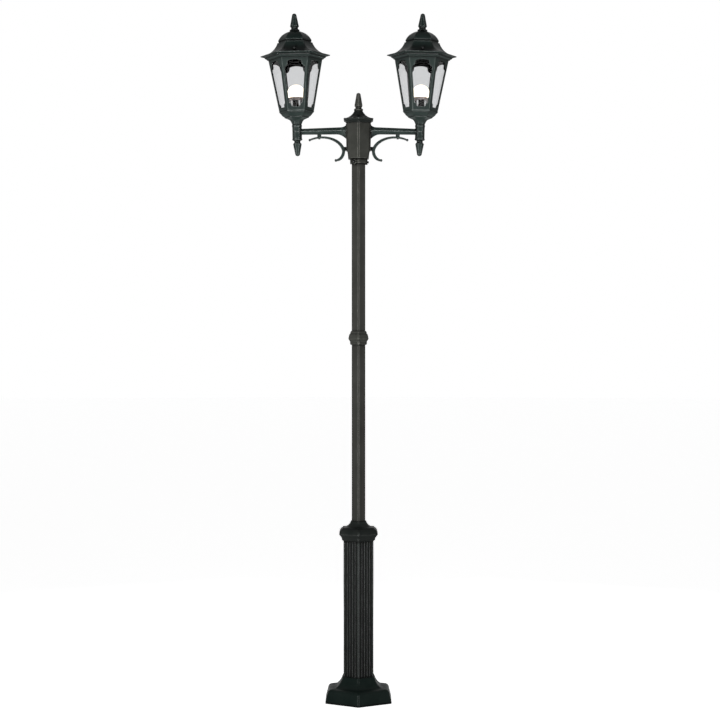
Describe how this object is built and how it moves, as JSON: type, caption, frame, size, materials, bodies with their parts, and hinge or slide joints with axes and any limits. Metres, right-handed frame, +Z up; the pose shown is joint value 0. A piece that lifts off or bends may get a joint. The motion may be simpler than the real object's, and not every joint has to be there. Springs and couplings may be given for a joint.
{
  "type": "double head garden lamp post",
  "caption": "Tall hexagonal garden lamp post with a fluted column foot and tapered glazed lanterns on opposite drooping arms with scroll brackets.",
  "frame": {"origin": "middle of the foot at ground level", "axes": "+Z up the post, +X towards the right-hand lantern, -Y the front as pictured"},
  "size_m": [0.6832, 0.2626, 2.395],
  "materials": {
    "black_casting": "satin black powder coat on cast aluminium",
    "black_tube": "satin black powder coat on aluminium tube",
    "zinc_steel": "zinc plated",
    "black_screw": "black oxide steel",
    "brass": "plain turned brass",
    "ceramic": "glazed white porcelain",
    "pane_glass": "clear flat glass",
    "seal_rubber": "matt black",
    "lead_sheath": "white PVC sheath",
    "block_plastic": "natural nylon",
    "lamp_shell": "polished grey lamp body",
    "lamp_dome": "frosted white"
  },
  "bodies": {
    "post": {"arm_left": "black_casting", "arm_nuts": "zinc_steel", "arm_right": "black_casting", "cage_screws": "black_screw", "cap_rod": "zinc_steel", "earth_screw": "brass", "foot_screws": "zinc_steel", "ground_plate": "zinc_steel", "ground_socket": "zinc_steel", "head_body": "black_casting", "head_collar": "black_casting", "holder_shell_left": "brass", "holder_shell_right": "brass", "joint_spigot": "zinc_steel", "lamp_holder_left": "ceramic", "lamp_holder_right": "ceramic", "lamp_lead_left": "lead_sheath", "lamp_lead_right": "lead_sheath", "lantern_bowl_left": "black_casting", "lantern_bowl_right": "black_casting", "lantern_cage_left": "black_casting", "lantern_cage_right": "black_casting", "lower_post": "black_tube", "nipple_nuts": "zinc_steel", "nipples": "zinc_steel", "pane_clips": "black_screw", "pendant_left": "black_casting", "pendant_right": "black_casting", "post_joint": "black_casting", "roof_gaskets": "seal_rubber", "scroll_left": "black_casting", "scroll_right": "black_casting", "scroll_screws": "black_screw", "terminal_block": "block_plastic", "terminal_bracket": "zinc_steel", "upper_post": "black_tube", "window_panes_left": "pane_glass", "window_panes_right": "pane_glass"},
    "clamp_screw_right": {"set_screw_right": "black_screw"},
    "clamp_screw_rear": {"set_screw_rear": "black_screw"},
    "clamp_screw_front": {"set_screw_front": "black_screw"},
    "foot_cover": {"base_casting": "black_casting", "fluted_column": "black_casting", "column_cap": "black_casting"},
    "head_lid": {"head_cap": "black_casting", "head_finial": "black_casting"},
    "roof_left": {"roof_skirt_left": "black_casting", "roof_screws_left": "black_screw", "roof_dome_left": "black_casting", "roof_finial_left": "black_casting"},
    "lamp_left": {"lamp_cap_left": "brass", "lamp_body_left": "lamp_shell", "lamp_dome_left": "lamp_dome"},
    "roof_right": {"roof_skirt_right": "black_casting", "roof_screws_right": "black_screw", "roof_dome_right": "black_casting", "roof_finial_right": "black_casting"},
    "lamp_right": {"lamp_cap_right": "brass", "lamp_body_right": "lamp_shell", "lamp_dome_right": "lamp_dome"}
  },
  "joints": [
    {"name": "roof_left_lift", "type": "slide", "parent": "post", "child": "roof_left", "axis": [-0.0242, 0, 0.9997], "range_m": [0, 0.12]},
    {"name": "lamp_left_unscrew", "type": "slide", "parent": "post", "child": "lamp_left", "axis": [-0.0242, 0, 0.9997], "range_m": [0, 0.026]},
    {"name": "roof_right_lift", "type": "slide", "parent": "post", "child": "roof_right", "axis": [0.0242, 0, 0.9997], "range_m": [0, 0.12]},
    {"name": "lamp_right_unscrew", "type": "slide", "parent": "post", "child": "lamp_right", "axis": [0.0242, 0, 0.9997], "range_m": [0, 0.026]},
    {"name": "foot_cover_lift", "type": "slide", "parent": "post", "child": "foot_cover", "axis": [0, 0, 1], "range_m": [0, 0.2]},
    {"name": "head_lid_lift", "type": "slide", "parent": "post", "child": "head_lid", "axis": [0, 0, 1], "range_m": [0, 0.06]},
    {"name": "clamp_screw_right_back_out", "type": "slide", "parent": "post", "child": "clamp_screw_right", "axis": [1, 0, 0], "range_m": [0, 0.004]},
    {"name": "clamp_screw_rear_back_out", "type": "slide", "parent": "post", "child": "clamp_screw_rear", "axis": [-0.5, 0.866, 0], "range_m": [0, 0.004]},
    {"name": "clamp_screw_front_back_out", "type": "slide", "parent": "post", "child": "clamp_screw_front", "axis": [-0.5, -0.866, 0], "range_m": [0, 0.004]}
  ]
}
